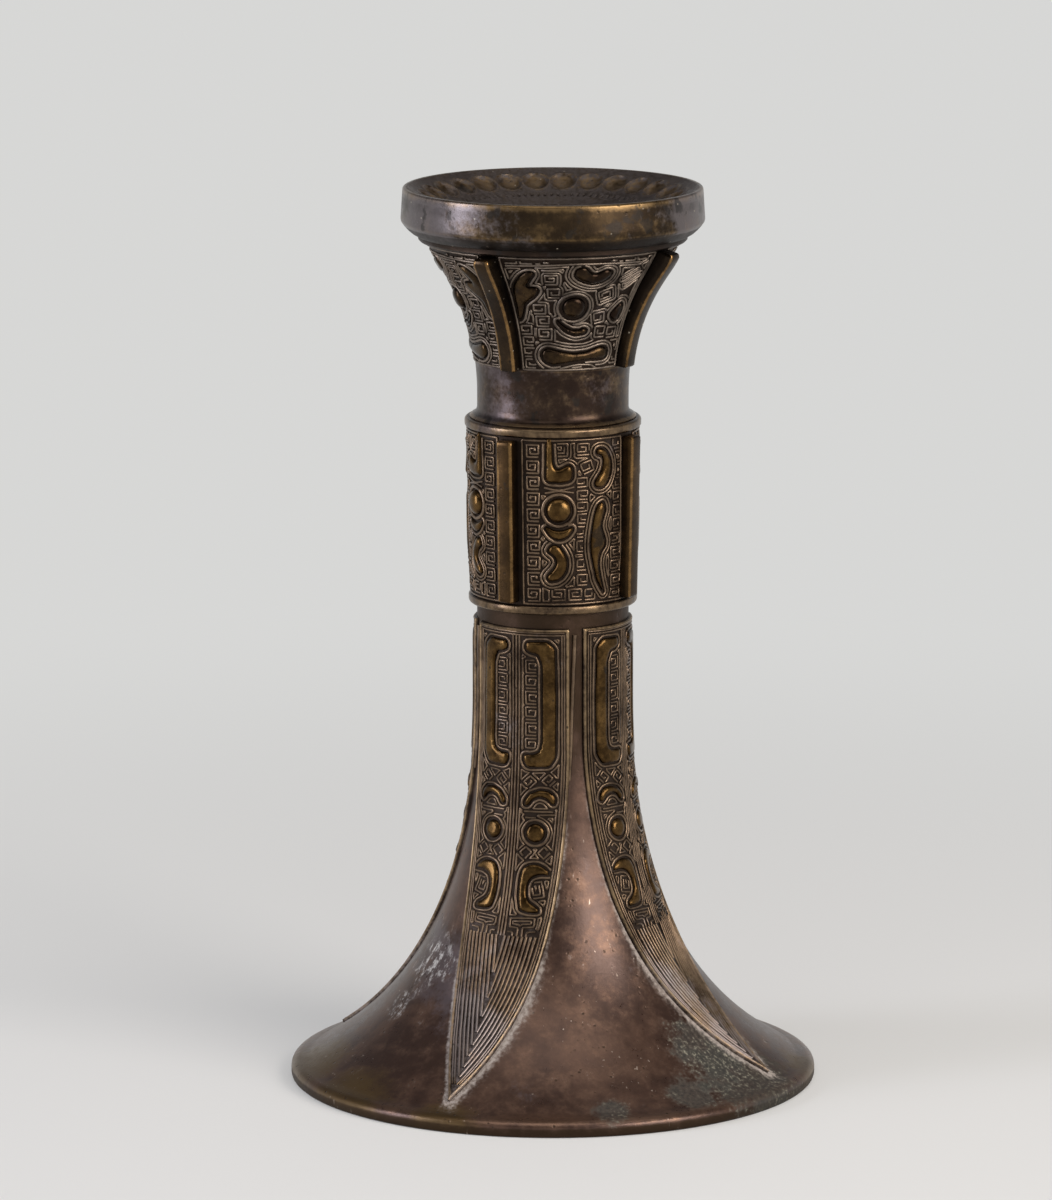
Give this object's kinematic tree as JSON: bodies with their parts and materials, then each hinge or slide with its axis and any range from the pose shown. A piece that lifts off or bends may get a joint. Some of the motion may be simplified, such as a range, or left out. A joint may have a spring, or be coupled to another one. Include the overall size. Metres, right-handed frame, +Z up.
{
  "type": "bronze ritual vase",
  "caption": "Slender turned bronze vase standing on its wide trumpet mouth, with flanged waist and foot, a thick foot ring and hanging blade relief.",
  "frame": {"origin": "centre of the wide mouth's rim, on the surface the vase stands on", "axes": "+Z up along the vase's axis, from the wide mouth on the floor to the foot ring; the flanges lie on X and Y, and the noses of the two masks face -Y and +Y"},
  "size_m": [0.1466, 0.1466, 0.25],
  "materials": {
    "bronze_body": "dark brown patinated cast bronze, soft sheen",
    "bronze_relief": "dark brown patinated cast bronze, worn brighter on the raised lines",
    "bronze_flange": "golden brown worn bronze",
    "bronze_ring": "golden brown worn bronze with dark spots"
  },
  "bodies": {
    "root": {"trumpet": "bronze_body", "waist_band": "bronze_relief", "foot_flare": "bronze_relief", "foot_ring": "bronze_ring", "floor_plate": "bronze_body", "waist_flange_1": "bronze_flange", "waist_flange_2": "bronze_flange", "waist_flange_3": "bronze_flange", "waist_flange_4": "bronze_flange", "foot_flange_1": "bronze_flange", "foot_flange_2": "bronze_flange", "foot_flange_3": "bronze_flange", "foot_flange_4": "bronze_flange"}
  },
  "joints": []
}
